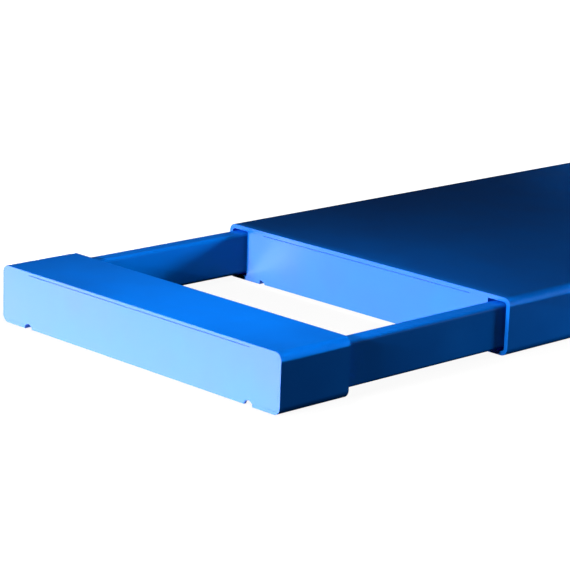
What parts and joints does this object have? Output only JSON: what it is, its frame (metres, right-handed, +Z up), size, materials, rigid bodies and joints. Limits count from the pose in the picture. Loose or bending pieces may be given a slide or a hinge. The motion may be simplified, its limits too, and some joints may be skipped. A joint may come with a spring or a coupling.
{
  "type": "extendable lift platform",
  "caption": "Folded steel lift platform with a pull-out end cap on tube rails, and slide tracks and pivot forks for a scissor lift underneath.",
  "frame": {"origin": "on the floor under the middle of the whole length, extension pulled out", "axes": "+X across the width, +Y along the deck from the extension to the far end, +Z up"},
  "size_m": [0.62, 1.878, 0.091],
  "materials": {
    "blue_powder_coat": "glossy blue powder coat with a fine orange peel",
    "glide_plastic": "matt black sliding plastic",
    "zinc_plated_steel": "bright zinc plate"
  },
  "bodies": {
    "deck": {"deck_shell": "blue_powder_coat", "mouth_plate": "blue_powder_coat", "rear_plate": "blue_powder_coat", "left_web": "blue_powder_coat", "right_web": "blue_powder_coat", "left_track": "blue_powder_coat", "right_track": "blue_powder_coat", "left_pivot_bracket": "blue_powder_coat", "right_pivot_bracket": "blue_powder_coat", "left_mouth_glide": "glide_plastic", "right_mouth_glide": "glide_plastic", "stop_bolts": "zinc_plated_steel", "stop_nuts": "zinc_plated_steel", "rib_1": "blue_powder_coat", "rib_2": "blue_powder_coat", "rib_3": "blue_powder_coat", "rib_4": "blue_powder_coat", "rib_5": "blue_powder_coat"},
    "extension": {"cap_shell": "blue_powder_coat", "cap_front_plate": "blue_powder_coat", "cap_stiffener": "blue_powder_coat", "left_rail": "blue_powder_coat", "right_rail": "blue_powder_coat", "left_upper_packer": "blue_powder_coat", "right_upper_packer": "blue_powder_coat", "left_lower_packer": "blue_powder_coat", "right_lower_packer": "blue_powder_coat", "left_tail_glide": "glide_plastic", "right_tail_glide": "glide_plastic", "left_rail_stop": "blue_powder_coat", "right_rail_stop": "blue_powder_coat"}
  },
  "joints": [
    {"name": "extension_slide", "type": "slide", "parent": "deck", "child": "extension", "axis": [0, 1, 0], "range_m": [0, 0.34]}
  ]
}
